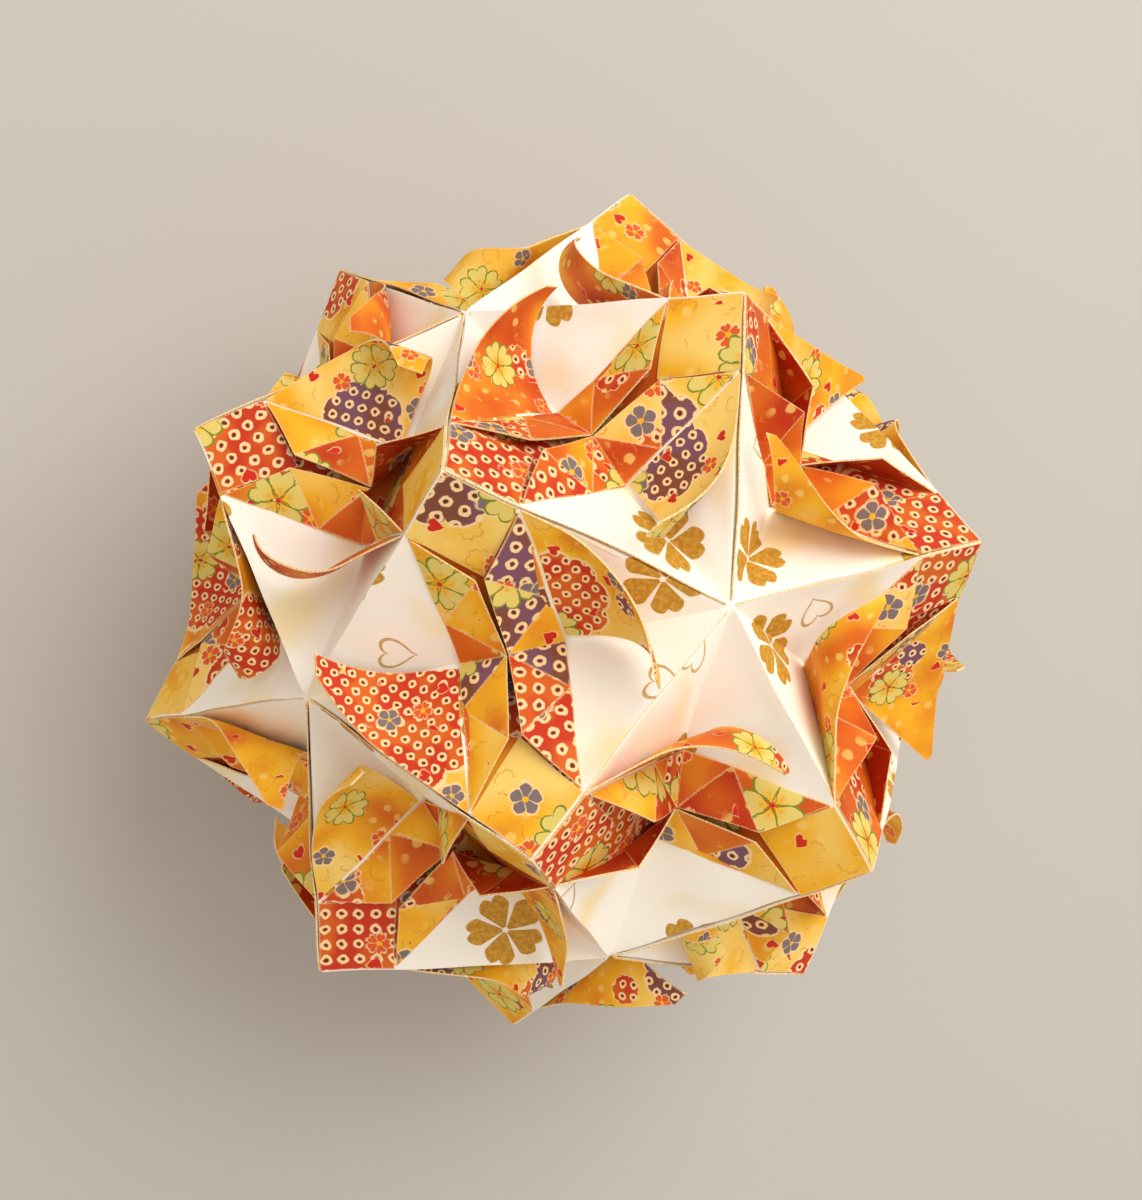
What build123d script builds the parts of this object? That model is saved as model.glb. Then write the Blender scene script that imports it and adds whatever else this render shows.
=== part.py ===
from build123d import *
from math import acos, atan2, ceil, cos, degrees, radians, sin, sqrt, tan
import os

# Kusudama paper ball: thirty folded sheets that lock into one another with
# hidden tabs. Every sheet has a square face folded on its valley diagonal,
# two curled petals, and a pleated strip that runs from peak to peak.
# Millimetres. The origin is the centre of the ball, and the ball rests on
# one valley corner and the two peaks beside it, with +Z up.

# Sheet
face_side = 37.5       # side of the square face
paper = 0.16           # thickness of a folded layer
gap = 0.06             # clearance between two sheets
corner_cut = 0.9       # taken off each valley corner, which leaves a pinhole
tab_inset = 1.6        # from the valley to the tab and to the pocket's lining
edge_margin = 0.5      # from the ridges to the strip and the petals

# Pleated strip
strip_share = 0.176    # from the centre line to the strip's side, as a share of face_side
kite_reach = 1.2       # of the kite's point under the doors
door_gap = 0.5         # from the kite's shoulder to the doors, along the strip
slit_half = 0.1        # least half width of the slit between two doors
lip_slide = 2.0        # from the kite's point towards the valley, for a door that stands up
knot_half = 0.15       # half the slit at the bow's knot
kite_rise = 0.7        # height of the kite's lower point
bow_rise = 3.4         # height of the bow's knot over the valley
bow_foot = 0.5         # height of the bow's ends over the valley

# How far a pair of doors is turned up about the strip's sides, in degrees
doors = {"low": 20, "raised": 52}

# Petals
petal_gap = 0.3        # from the strip's side to the petal's root
petal_end = 2.0        # from the tip of a flat petal to the valley's end
petal_paper = 0.24     # two layers pressed together
petal_foot = 0.8       # from the valley to the petal's lower edge
largest_bend = 22.0    # turn from one flat of a curl to the next, degrees

# Curls: lift of the root in degrees, radius of the bend as a share of the
# petal's length, turn in degrees, width of the blunt tip, and how far the tip
# swings towards the valley
curls = {
    "pressed": (0.5, 2.3, 3, 0.9, 0),
    "flat": (14, 1.7, 24, 0.9, 0),
    "bent": (12, 0.9, 46, 3.0, 1.4),
    "open": (12, 0.57, 85, 2.2, 1.8),
    "hooked": (38, 0.32, 118, 1.2, 3.0),
    "rolled": (12, 0.176, 170, 3.2, 1.0),
}

# The ball: valley corners on an icosahedron, three square corners at a peak
golden = (1 + sqrt(5)) / 2
diagonal = face_side * sqrt(2)
valley_radius = diagonal * sqrt(golden * sqrt(5)) / 2
middle_radius = diagonal * golden / 2
triangle_radius = diagonal * golden**2 / (2 * sqrt(3))
peak_radius = triangle_radius + diagonal / sqrt(6)
lean = acos(triangle_radius / middle_radius)
slope = atan2(peak_radius * cos(lean) - middle_radius, peak_radius * sin(lean))

# Layers of one sheet, counted inwards from its outer face: the panel, then
# the neighbour's tab, then the lining that closes the pocket
tab_out = paper + gap
lining_out = 2 * (paper + gap)
lining_edge = 3 * (paper + gap)
fold_reach = diagonal / 2 - sqrt(2) * edge_margin
strip_half = strip_share * face_side
petal_root = strip_half + petal_gap
petal_length = diagonal / 2 - petal_root - petal_end

# Half a face lies on Plane.XY: X climbs from the valley to the peak, Y runs
# along the valley and Z points out. peak has X along the ridge where a
# neighbour's tab slips in, and Y along the ridge where this sheet's tab is.
peak = Plane(origin=(diagonal / 2, 0, 0), x_dir=(-1, 1, 0), z_dir=(0, 0, 1))
tab_wall = Plane(origin=peak.from_local_coords((tab_out, 0, 0)), x_dir=peak.y_dir, z_dir=peak.x_dir)


def over_valley(along, height):
    """A point just past the fold's mirror plane, a height over the valley."""
    return Vector(height * sin(slope) - paper, along, height * cos(slope))


def facet(*corners):
    """One flat of folded paper through its corners, as thick as the paper."""
    flat = Plane(
        origin=corners[0],
        x_dir=corners[1] - corners[0],
        z_dir=(corners[1] - corners[0]).cross(corners[2] - corners[0]),
    )
    with BuildPart() as leaf:
        with BuildSketch(flat):
            with BuildLine():
                Polyline(*[flat.to_local_coords(corner) for corner in corners], close=True)
            make_face()
        extrude(amount=paper / 2, dir=(0, 0, 1), both=True)
    return leaf.part


def face_panel():
    """Half the square face, its folded tab and the pocket's lining."""
    run = face_side
    slack = sqrt(2) * tab_inset
    skirt = sqrt(2) * paper * tan(slope)
    with BuildPart() as panel:
        with BuildSketch(peak.offset(-paper)):
            with BuildLine():
                Polyline(
                    (tab_out, 0),
                    (run - corner_cut, 0),
                    (run - corner_cut, corner_cut + skirt),
                    (corner_cut + tab_out + skirt, run - corner_cut - tab_out),
                    (tab_out, run - corner_cut - tab_out),
                    close=True,
                )
            make_face()
        extrude(amount=paper)
        with BuildSketch(tab_wall):
            with BuildLine():
                Polyline(
                    (lining_out, -paper / 2),
                    (run - slack - corner_cut, -paper / 2),
                    (run - slack - corner_cut, -corner_cut),
                    (lining_out, lining_out - run + slack),
                    close=True,
                )
            make_face()
        extrude(amount=paper)
        with BuildSketch(peak.offset(-lining_out - paper)):
            with BuildLine():
                Polyline(
                    (tab_out, lining_edge),
                    (run - slack - lining_edge, lining_edge),
                    (tab_out, run - slack - tab_out),
                    close=True,
                )
            make_face()
        extrude(amount=paper)
    return panel.part


def pleated_strip(door):
    """The kite at the peak, the two doors below it and half the bow."""
    turn = radians(doors[door])
    top = Vector(fold_reach, 0, 0)
    kite_point = top + Vector(-2 * strip_half - kite_reach, 0, kite_rise)
    leaves = []
    for side in (1, -1):
        shoulder = top + Vector(-strip_half, side * strip_half, 0)
        door_top = shoulder - Vector(door_gap, 0, 0)
        hip = top + Vector(-3 * strip_half, side * strip_half, 0)
        lip = Vector(
            fold_reach - 2 * strip_half - lip_slide * sin(turn),
            side * (slit_half + strip_half * (1 - cos(turn))),
            strip_half * sin(turn),
        )
        knot = over_valley(side * knot_half, bow_rise)
        bow_end = over_valley(side * strip_half, bow_foot)
        leaves += [
            facet(top, shoulder, kite_point),
            facet(door_top, hip, lip),
            facet(hip, knot, lip),
            facet(hip, bow_end, knot),
        ]
    return leaves


def ribbon(sections):
    """A closed strip with flat faces through its four-cornered sections."""
    faces = [Face(Wire.make_polygon(section)) for section in (sections[0], sections[-1])]
    for near, far in zip(sections, sections[1:]):
        for side in range(4):
            after = (side + 1) % 4
            faces.append(Face(Wire.make_polygon([near[side], near[after], far[after]])))
            faces.append(Face(Wire.make_polygon([near[side], far[after], far[side]])))
    return Solid(Shell(faces))


def petal(curl):
    """A triangular petal that curls up from its root at the strip's side."""
    lift, bend_share, turn, tip, swing = curls[curl]
    radius = bend_share * petal_length
    straight = petal_length - radius * radians(turn)
    bends = ceil(turn / largest_bend)
    root_width = fold_reach - petal_root - petal_foot
    stations = [(0, lift)]
    for bend in range(bends + 1):
        share = bend / bends
        stations.append((straight + (petal_length - straight) * share, lift + turn * share))
    sections = []
    for length, rise in stations:
        run = min(length, straight)
        away = run * cos(radians(lift)) + radius * (sin(radians(rise)) - sin(radians(lift)))
        up = run * sin(radians(lift)) + radius * (cos(radians(lift)) - cos(radians(rise)))
        reach = length / petal_length
        low = Vector(petal_foot - swing * reach**3, -petal_root - away, up)
        high = low + Vector(root_width + (tip - root_width) * reach, 0, 0)
        skin = Vector(0, sin(radians(rise)), cos(radians(rise))) * petal_paper / 2
        sections.append([low - skin, high - skin, high + skin, low + skin])
    return ribbon(sections)


def wing(curl, door):
    """Half a sheet, from the valley up to one peak, in the sheet's frame.

    Without a curl, its petal is tucked in between the layers and not made.
    """
    seat = Plane(
        origin=(0, 0, 0),
        x_dir=(-cos(slope), 0, sin(slope)),
        z_dir=(sin(slope), 0, cos(slope)),
    )
    panel = face_panel()
    leaves = pleated_strip(door)
    with BuildPart() as half:
        with Locations(seat):
            add(panel)
            add(leaves)
        split(bisect_by=Plane.YZ, keep=Keep.BOTTOM)
        if curl:
            with Locations(seat):
                add(petal(curl))
    return half.part


def ring(height, radius, start):
    """Five corners spaced evenly round the upright axis."""
    corners = []
    for turn in range(5):
        angle = radians(start + 72 * turn)
        corners.append(Vector(radius * cos(angle), radius * sin(angle), height))
    return corners


def seat_between(corner, other):
    """The frame of the sheet whose valley joins two corners of the ball."""
    middle = (corner + other) / 2
    along = other - corner
    return Plane(origin=middle, x_dir=along.cross(middle), z_dir=middle)


# Valley corners of the ball
ring_height = valley_radius / sqrt(5)
ring_radius = 2 * ring_height
top_corner = Vector(0, 0, valley_radius)
upper = ring(ring_height, ring_radius, 36)
lower = ring(-ring_height, ring_radius, 0)
foot_corner = Vector(0, 0, -valley_radius)

# Each sheet's two wings, as the curl of the petal and the state of the
# doors, ring by ring from the top
crown_wings = [
    (("flat", "raised"), ("hooked", "raised")),
    (("open", "low"), ("open", "low")),
    (("bent", "low"), ("open", "low")),
    ((None, "low"), ("hooked", "raised")),
    (("flat", "low"), ("hooked", "raised")),
]
shoulder_wings = [
    (("hooked", "raised"), ("rolled", "low")),
    (("hooked", "raised"), ("rolled", "low")),
    (("flat", "raised"), ("open", "low")),
    (("open", "low"), ("rolled", "raised")),
    (("rolled", "low"), ("open", "raised")),
]
girdle_wings = [
    (("open", "low"), ("rolled", "raised")),
    (("rolled", "raised"), ("open", "low")),
]
waist_wings = (("open", "raised"), ("open", "low"))
foot_wings = (("pressed", "low"), ("pressed", "low"))

# Each sheet: the two corners its valley joins, and its wings
sheets = {}
for turn in range(5):
    after = (turn + 1) % 5
    sheets[f"crown_sheet_{turn + 1}"] = (top_corner, upper[turn], crown_wings[turn])
    sheets[f"shoulder_sheet_{turn + 1}"] = (upper[turn], upper[after], shoulder_wings[turn])
    sheets[f"girdle_sheet_{2 * turn + 1}"] = (upper[turn], lower[turn], girdle_wings[0])
    sheets[f"girdle_sheet_{2 * turn + 2}"] = (upper[turn], lower[after], girdle_wings[1])
    sheets[f"waist_sheet_{turn + 1}"] = (lower[turn], lower[after], waist_wings)
    sheets[f"foot_sheet_{turn + 1}"] = (foot_corner, lower[turn], foot_wings)

# The ball leans until two peaks of the lowest ring reach the floor
peak_ring_height = peak_radius * triangle_radius / valley_radius
peak_ring_radius = sqrt(peak_radius**2 - peak_ring_height**2)
rest_lean = atan2(valley_radius - peak_ring_height, peak_ring_radius * cos(radians(36)))
at_rest = Location((0, 0, 0), (0, degrees(rest_lean), 0))

os.makedirs("parts", exist_ok=True)
made = {}
for name, (corner, other, pair) in sheets.items():
    for state in pair:
        if state not in made:
            made[state] = wing(*state)
    near, far = pair
    seat = at_rest * Location(seat_between(corner, other))
    with BuildPart() as sheet:
        with Locations(seat):
            add(made[near])
            add(made[far], rotation=(0, 0, 180))
    sheet.part.label = name
    export_step(sheet.part, f"parts/{name}.step")
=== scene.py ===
import bpy
import math
import random
import numpy as np
from mathutils import Matrix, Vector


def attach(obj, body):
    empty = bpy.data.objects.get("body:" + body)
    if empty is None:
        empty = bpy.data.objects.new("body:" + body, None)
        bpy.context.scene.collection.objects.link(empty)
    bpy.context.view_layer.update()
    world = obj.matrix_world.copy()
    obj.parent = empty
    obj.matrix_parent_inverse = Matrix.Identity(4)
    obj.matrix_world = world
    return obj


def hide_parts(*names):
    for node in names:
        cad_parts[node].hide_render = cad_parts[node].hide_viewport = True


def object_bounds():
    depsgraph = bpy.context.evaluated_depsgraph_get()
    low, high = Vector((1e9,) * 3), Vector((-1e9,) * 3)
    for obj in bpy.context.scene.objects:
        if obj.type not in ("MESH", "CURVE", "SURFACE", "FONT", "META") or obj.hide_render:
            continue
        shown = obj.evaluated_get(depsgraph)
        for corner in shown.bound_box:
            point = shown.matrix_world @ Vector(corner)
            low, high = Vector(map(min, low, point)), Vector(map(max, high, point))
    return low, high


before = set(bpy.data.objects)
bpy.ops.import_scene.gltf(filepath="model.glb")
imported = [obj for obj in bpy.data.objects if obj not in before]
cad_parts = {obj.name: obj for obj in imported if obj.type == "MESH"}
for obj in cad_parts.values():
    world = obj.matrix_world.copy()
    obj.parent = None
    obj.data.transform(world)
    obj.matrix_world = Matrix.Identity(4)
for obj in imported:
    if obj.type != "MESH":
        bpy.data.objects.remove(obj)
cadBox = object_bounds()
print("frame loaded, sheets:", len(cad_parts))

# The ball, in millimetres as in the CAD model. Everything below is worked out from these.
ball = {
    "faceSide": 37.5,      # side of the square face
    "paper": 0.16,         # one folded layer
    "gap": 0.06,           # between two sheets
    "cornerCut": 0.9,      # leaves a pinhole at each valley corner
    "tabInset": 1.6,       # from the valley to the tab and the lining
    "edgeMargin": 0.2,     # from the ridges to the strip and the petals
    "metresPerUnit": 0.001,
}

# How far hand-folded paper strays from true: two slow waves through the ball, in radians per millimetre
waver = {
    "reach": 0.16,
    "rates": (0.43, 0.29),
    "starts": ((0.3, 1.9, 4.1), (2.2, 0.7, 3.3)),
}

golden = (1 + math.sqrt(5)) / 2
faceSide = ball["faceSide"]
paper = ball["paper"]
diagonal = faceSide * math.sqrt(2)
valleyRadius = diagonal * math.sqrt(golden * math.sqrt(5)) / 2
middleRadius = diagonal * golden / 2
triangleRadius = diagonal * golden**2 / (2 * math.sqrt(3))
peakRadius = triangleRadius + diagonal / math.sqrt(6)
leanOut = math.acos(triangleRadius / middleRadius)
slope = math.atan2(peakRadius * math.cos(leanOut) - middleRadius, peakRadius * math.sin(leanOut))
tabOut = paper + ball["gap"]
liningOut = 2 * tabOut
liningEdge = 3 * tabOut
foldReach = diagonal / 2 - math.sqrt(2) * ball["edgeMargin"]

peakRingHeight = peakRadius * triangleRadius / valleyRadius
peakRingRadius = math.sqrt(peakRadius**2 - peakRingHeight**2)
restLean = math.atan2(valleyRadius - peakRingHeight, peakRingRadius * math.cos(math.radians(36)))
leanTurn = np.array(Matrix.Rotation(restLean, 3, "Y"))


def unit(vector):
    return vector / np.linalg.norm(vector)


def fade(value, low, high):
    share = np.clip((value - low) / (high - low), 0, 1)
    return share * share * (3 - 2 * share)


def ring(height, radius, start):
    angles = [math.radians(start + 72 * turn) for turn in range(5)]
    return [np.array([radius * math.cos(a), radius * math.sin(a), height]) for a in angles]


class Half:
    # Half a face: u climbs from the valley to the peak, v runs along the valley, h points out
    def __init__(self, corner, other, turned):
        middle = (corner + other) / 2
        out = unit(middle)
        along = unit(other - corner)
        across = np.cross(along, out)
        side = 1 if turned else -1
        self.origin = middle
        self.u = side * math.cos(slope) * across + math.sin(slope) * out
        self.v = side * along
        self.h = -side * math.sin(slope) * across + math.cos(slope) * out

    def place(self, points):
        points = np.atleast_2d(points)
        axes = (self.u, self.v, self.h)
        return self.origin + sum(np.outer(points[:, k], axis) for k, axis in enumerate(axes))


def flatToHalf(x, y):
    # x and y run from the peak along the two ridges; u and v are those of the half
    return diagonal / 2 - (x + y) / math.sqrt(2), (x - y) / math.sqrt(2)


# Soft dents all over a face, and the lift of the pocket's mouth
dents = {
    "mouthLift": 0.30,
    "mouthVary": 0.35,    # share by which the lift comes and goes
    "mouthRate": 7,
    "mouthReach": 2.6,    # from the ridge to where the lift has died out
    "rim": (0.3, 6),      # from the edges: flat up to the first, fully dented from the second
    "middle": 0.22,
    "vary": 0.14,
    "rates": (0.31, 0.23, 0.17),
    "shifts": (0.9, 1.7, 2.3),      # how far a sheet's own seed moves each wave
}


def faceRise(u, v, seed):
    # How far the face stands proud of flat: soft dents, and the pocket's mouth lifts a little
    if seed is None:  # pressed flat by the ball's own weight
        return 0 * (u + v)
    fromPocket = (diagonal / 2 - u - v) / math.sqrt(2)  # from the ridge that takes the neighbour's tab
    fromTab = (diagonal / 2 - u + v) / math.sqrt(2)  # from the ridge with this sheet's own tab
    share = np.clip(fromTab / faceSide, 0, 1)
    reach = dents["mouthReach"]
    mouth = dents["mouthLift"] * np.sqrt(np.clip(np.sin(math.pi * share), 0, 1))
    mouth = mouth * (1 + dents["mouthVary"] * np.sin(dents["mouthRate"] * share + seed))
    mouth = mouth * fade(reach - fromPocket, 0, reach)
    inner = fade(np.minimum(np.minimum(fromPocket, fromTab), u), *dents["rim"])
    one, two, three = (np.sin(rate * along + shift * seed) for rate, along, shift
                       in zip(dents["rates"], (u, v, u + v), dents["shifts"]))
    return mouth + inner * (dents["middle"] + dents["vary"] * (one * two + three))


def show(name, data):
    made = bpy.data.objects.new(name, data)
    bpy.context.scene.collection.objects.link(made)
    return made


class Piece:
    # Collects thickened surfaces for one mesh
    def __init__(self):
        self.points = []
        self.faces = []
        self.materials = []
        self.print = []
        self.creases = []
        self.tones = []

    def addFace(self, corners, material, uvs, creases, tone):
        self.faces.append(corners)
        self.materials.append(material)
        self.print += uvs
        self.creases += creases
        self.tones += [tone] * len(corners)

    def addSurface(self, points, triangles, thickness, front, back, tone, backTone=None):
        # points in the ball's frame; a triangle is (three corners, three uvs, three crease distances)
        keys = {}
        welded = []
        index = []
        for point in points:
            key = tuple(np.round(point, 3))
            if key not in keys:
                keys[key] = len(welded)
                welded.append(point)
            index.append(keys[key])
        welded = np.array(welded)
        kept = []
        for corners, uvs, creases in triangles:
            a, b, c = (index[k] for k in corners)
            if len({a, b, c}) == 3:
                kept.append(((a, b, c), uvs, creases))
        normals = np.zeros_like(welded)
        faceNormals = []
        edges = {}
        for (a, b, c), _, _ in kept:
            normal = np.cross(welded[b] - welded[a], welded[c] - welded[a])
            size = np.linalg.norm(normal)
            normal = normal / size if size > 1e-9 else normal
            faceNormals.append(normal)
            for corner, before, after in ((a, c, b), (b, a, c), (c, b, a)):
                one = welded[before] - welded[corner]
                two = welded[after] - welded[corner]
                cosine = one @ two / max(np.linalg.norm(one) * np.linalg.norm(two), 1e-12)
                normals[corner] += normal * math.acos(max(-1, min(1, cosine)))
        lengths = np.linalg.norm(normals, axis=1, keepdims=True)
        normals = normals / np.maximum(lengths, 1e-9)
        closest = np.ones(len(welded))
        for ((a, b, c), _, _), normal in zip(kept, faceNormals):
            for corner in (a, b, c):
                closest[corner] = min(closest[corner], normals[corner] @ normal)
        stretch = 1 / np.clip(closest, 0.6, 1)
        inner = welded - normals * (thickness * stretch)[:, None]
        base = len(self.points)
        count = len(welded)
        self.points += list(welded) + list(inner)
        backTone = backTone or tone
        for (a, b, c), uvs, creases in kept:
            self.addFace((base + a, base + b, base + c), front, list(uvs), list(creases), tone)
            under = (base + count + a, base + count + c, base + count + b)
            flipped = [(-uvs[0][0], uvs[0][1]), (-uvs[2][0], uvs[2][1]), (-uvs[1][0], uvs[1][1])]
            self.addFace(under, back, flipped, [creases[0], creases[2], creases[1]], backTone)
            sides = ((a, b, uvs[0], uvs[1]), (b, c, uvs[1], uvs[2]), (c, a, uvs[2], uvs[0]))
            for start, end, uvA, uvB in sides:
                if (end, start) in edges:
                    edges.pop((end, start))
                else:
                    edges[(start, end)] = (uvA, uvB)
        for (start, end), (uvA, uvB) in edges.items():
            quad = (base + end, base + start, base + count + start, base + count + end)
            self.addFace(quad, 2, [uvB, uvA, uvA, uvB], [(0, 0, 0)] * 4, tone)

    def build(self, name, materials, creaseAngle):
        mesh = bpy.data.meshes.new(name)
        points = np.array(self.points)
        rates, starts = waver["rates"], waver["starts"]
        points = points + waver["reach"] * (np.sin(rates[0] * points[:, [1, 2, 0]] + starts[0])
                                            * np.cos(rates[1] * points[:, [2, 0, 1]] + starts[1]))
        points = (points @ leanTurn.T) * ball["metresPerUnit"]
        points = np.clip(points, np.array(cadBox[0]), np.array(cadBox[1]))  # stays in the solids' box
        mesh.from_pydata(points.tolist(), [], self.faces)
        mesh.polygons.foreach_set("material_index", self.materials)
        layer = mesh.uv_layers.new(name="sheet")
        layer.data.foreach_set("uv", np.array(self.print, np.float32).ravel())
        for title, values in (("creases", self.creases), ("tones", self.tones)):
            layer = mesh.attributes.new(title, "FLOAT_VECTOR", "CORNER")
            layer.data.foreach_set("vector", np.array(values, np.float32).ravel())
        for material in materials:
            mesh.materials.append(material)
        mesh.validate()
        mesh.shade_smooth()
        mesh.set_sharp_from_angle(angle=math.radians(creaseAngle))
        return show(name, mesh)


def onPrint(look, x, y):
    # From a facet's own flat lengths to the print
    cosine, sine = math.cos(math.radians(look["turn"])), math.sin(math.radians(look["turn"]))
    x, y = x * look["scale"], y * look["scale"]
    return (look["place"][0] + cosine * x - sine * y, look["place"][1] + sine * x + cosine * y)


def flatUvs(corners, look):
    # Lays a facet flat, with its middle on the chosen part of the print
    a, b, c = (np.array(corner) for corner in corners[:3])
    middle = (a + b + c) / 3
    alongEdge = unit(b - a)
    across = unit((c - a) - alongEdge * ((c - a) @ alongEdge))
    return lambda point: onPrint(look, (point - middle) @ alongEdge, (point - middle) @ across)


def trianglePatch(corners, lay, divisions, bulge=0.0):
    # A triangular facet as a fine lattice that swells a little in its middle
    corners = [np.array(corner, float) for corner in corners]
    normal = np.cross(corners[1] - corners[0], corners[2] - corners[0])
    area = np.linalg.norm(normal)
    normal = normal / area
    heights = [area / np.linalg.norm(corners[(k + 1) % 3] - corners[(k + 2) % 3]) for k in range(3)]
    points, uvs, creases, at = [], [], [], {}
    for i in range(divisions + 1):
        for j in range(divisions + 1 - i):
            weights = (1 - (i + j) / divisions, i / divisions, j / divisions)
            flat = sum(w * corner for w, corner in zip(weights, corners))
            at[i, j] = len(points)
            # 27 times the three weights is 1 in the middle
            points.append(flat + normal * bulge * 27 * weights[0] * weights[1] * weights[2])
            uvs.append(lay(flat))
            creases.append(tuple(w * height for w, height in zip(weights, heights)))
    triangles = []
    for i in range(divisions):
        for j in range(divisions - i):
            steps = [((i, j), (i + 1, j), (i, j + 1))]
            if i + j < divisions - 1:
                steps.append(((i + 1, j), (i + 1, j + 1), (i, j + 1)))
            for step in steps:
                ids = tuple(at[key] for key in step)
                triangles.append((ids, tuple(uvs[k] for k in ids), tuple(creases[k] for k in ids)))
    return points, triangles


def gridPatch(cells, width):
    # A four-sided surface from rows of (point, place on the print, crease distances), laid end to end
    points, uvs, creases = zip(*cells)
    triangles = []
    for i in range(len(cells) // width - 1):
        for j in range(width - 1):
            a, b, c, d = i * width + j, (i + 1) * width + j, (i + 1) * width + j + 1, i * width + j + 1
            for ids in ((a, c, b), (a, d, c)):
                triangles.append((ids, tuple(uvs[k] for k in ids), tuple(creases[k] for k in ids)))
    return points, triangles


# The face: one square folded on its valley diagonal, with a tab at each end and the pockets' linings
face = {
    "divisions": 14,      # across each half
    "rows": 30,           # along the tab ridge
    "bendRadius": 0.3,    # of the fold at the ridge
    "bendSteps": 3,
    "tabSteps": 3,
    "liningDivisions": 2,
    "tone": (0.0, 0.0, 0.0),
}


def buildFace(piece, halves, seeds, shift):
    run = faceSide
    cut = ball["cornerCut"]
    slack = math.sqrt(2) * ball["tabInset"]
    bend = face["bendRadius"]

    def rightEnd(y):
        return run - cut + (cut - tabOut) * float(np.clip((y - cut) / tabOut, 0, 1))

    levels = sorted({0.0, cut, cut + tabOut, run - cut - tabOut, run - cut, run}
                    | {run * k / face["rows"] for k in range(2, face["rows"] - 1)})
    cells = []
    for y in levels:
        for turned in (False, True):
            own = run - y if turned else y  # this half's own distance along its tab ridge
            start = tabOut + bend
            end = max(min(run - own, rightEnd(own)), start)
            hasTab = liningOut <= own <= run - slack - cut
            depth = max(run - slack - own, bend) if hasTab else bend
            stations = []
            for step in range(face["tabSteps"]):  # up the tab
                share = step / face["tabSteps"]
                stations.append((tabOut, -depth + (depth - bend) * share, -1))
            for step in range(face["bendSteps"]):  # round the fold
                turn = math.radians(90 * step / face["bendSteps"])
                stations.append((tabOut + bend - bend * math.cos(turn), -bend + bend * math.sin(turn), 0))
            for step in range(face["divisions"] + 1):  # down to the valley
                share = step / face["divisions"]
                stations.append((start + (end - start) * share, 0.0, 1))
            local = []
            for x, h, part in stations:
                u, v = flatToHalf(x, own)
                if part == 1:
                    h = h + faceRise(u, v, seeds[turned])
                local.append((u, v, h))
            flat = []
            for x, h, part in stations:
                away = x if part == 1 else x + h
                flat.append((run - away, run - own) if turned else (away, own))
            uvs = [(shift[0] + a, shift[1] + b) for a, b in flat]
            dist = [(max(x, 0), max((run - x - own) / math.sqrt(2), 0), own) for x, h, part in stations]
            side = list(zip(halves[turned].place(local), uvs, dist))
            cells += side[::-1] if turned else side
    piece.addSurface(*gridPatch(cells, 2 * len(stations)), paper, 1, 1, face["tone"])
    for turned in (False, True):  # the lining that closes each pocket
        corners = [(tabOut, liningEdge), (run - slack - liningEdge, liningEdge),
                   (tabOut, run - slack - tabOut)]
        local = [(*flatToHalf(x, y), -liningOut) for x, y in corners]
        placed = list(halves[turned].place(local))
        lay = flatUvs(placed, {"place": shift, "turn": 0, "scale": 1})
        piece.addSurface(*trianglePatch(placed, lay, face["liningDivisions"]), paper, 1, 1, face["tone"])


# The pleated strip from peak to peak: kite, doors and bow at each end
strip = {
    "halfWidth": 6.6,
    "kiteReach": 1.2,     # of the kite's point under the doors
    "doorGap": 0.5,
    "slitHalf": 0.1,
    "lipSlide": 2.0,      # how far a raised door's lip moves down to the valley
    "knotHalf": 0.15,
    "topRise": 0.09,
    "shoulderRise": 0.05,
    "kiteRise": 0.7,
    "doorRise": 0.2,
    "hipRise": 0.12,
    "bowRise": 3.5,
    "bowFoot": 0.62,
    "bulge": {"Door": 0.18, "Fold": 0.12, "Bow": 0.3},
    "layer": 0.2,         # thickness of a pleat
    "divisions": 7,
    "shadedUnderside": (0.95, 0.0, 0.0),      # plain deep orange behind every pleat: print, darkened as painted shade on the pleats' backs
    "underRise": 0.12,    # the flat layer below the doors, and how far it keeps in from their sides and top
    "underInset": 0.15,
    "underShort": 0.4,
    "underPaper": 0.1,
    "underAcross": 4,
    # how much warmer than the kite this layer is printed: painted shade and painted warm bounce in the gap
    # between the doors
    "underWarmth": 0.6,
}
noCrease = 9.0  # further from a fold than the pale crease line of wear and painted highlight reaches
doors = {"low": 20, "raised": 52}  # how far a pair of doors is turned up, in degrees


def stripPoints(settings):
    width = strip["halfWidth"]
    top = np.array([foldReach, 0.0, strip["topRise"]])
    kitePoint = top + np.array([-2 * width - strip["kiteReach"], settings["kiteSide"], strip["kiteRise"]])
    corners = {"top": top, "kitePoint": kitePoint}
    for side, name in ((1, "right"), (-1, "left")):
        turn = math.radians(settings[name + "Turn"])
        corners[name + "Shoulder"] = top + np.array([-width, side * width, strip["shoulderRise"]])
        doorTop = (-width - strip["doorGap"], side * width, strip["doorRise"])
        corners[name + "DoorTop"] = top + np.array(doorTop)
        corners[name + "Hip"] = top + np.array([-3 * width, side * width, strip["hipRise"]])
        corners[name + "Lip"] = np.array([
            top[0] - 2 * width - strip["lipSlide"] * math.sin(turn),
            side * (strip["slitHalf"] + settings[name + "Slack"] + width * (1 - math.cos(turn))),
            strip["doorRise"] + width * math.sin(turn),
        ])
        for part, along, up in (("Knot", strip["knotHalf"], strip["bowRise"]),
                                ("BowEnd", width, strip["bowFoot"])):
            corners[name + part] = np.array([up * math.sin(slope), side * along, up * math.cos(slope)])
    return corners


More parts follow.
